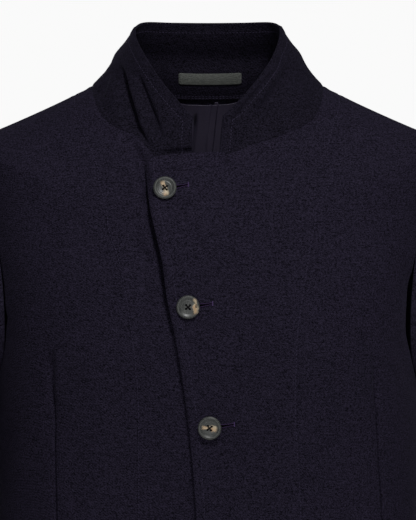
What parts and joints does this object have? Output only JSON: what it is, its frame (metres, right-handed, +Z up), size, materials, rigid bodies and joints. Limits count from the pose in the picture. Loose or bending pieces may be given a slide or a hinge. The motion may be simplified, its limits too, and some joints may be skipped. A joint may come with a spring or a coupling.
{
  "type": "blazer",
  "caption": "Men's blazer with a tall stand collar, asymmetric lap front and two-piece sleeves, hollow and filled out as if worn.",
  "frame": {"origin": "middle of the neck opening, level with the tops of the shoulders, where the neck of a stand or a hanger's hook comes up", "axes": "+Z up, -Y the front, +X the wearer's left"},
  "size_m": [0.644, 0.2636, 0.8096],
  "materials": {
    "cloth": "matt fine twill, very dark navy",
    "lining": "satin lining, dark purple-grey",
    "label": "woven tape, dark grey-green",
    "button": "polished horn look, streaked"
  },
  "bodies": {
    "root": {"front_left": "cloth", "front_right": "cloth", "side_front_left": "cloth", "side_front_right": "cloth", "back_left": "cloth", "back_right": "cloth", "top_sleeve_left": "cloth", "top_sleeve_right": "cloth", "under_sleeve_left": "cloth", "under_sleeve_right": "cloth", "collar": "cloth", "lining_left": "lining", "lining_right": "lining", "label": "label", "button_1": "button", "button_2": "button", "button_3": "button", "button_4": "button"}
  },
  "joints": []
}
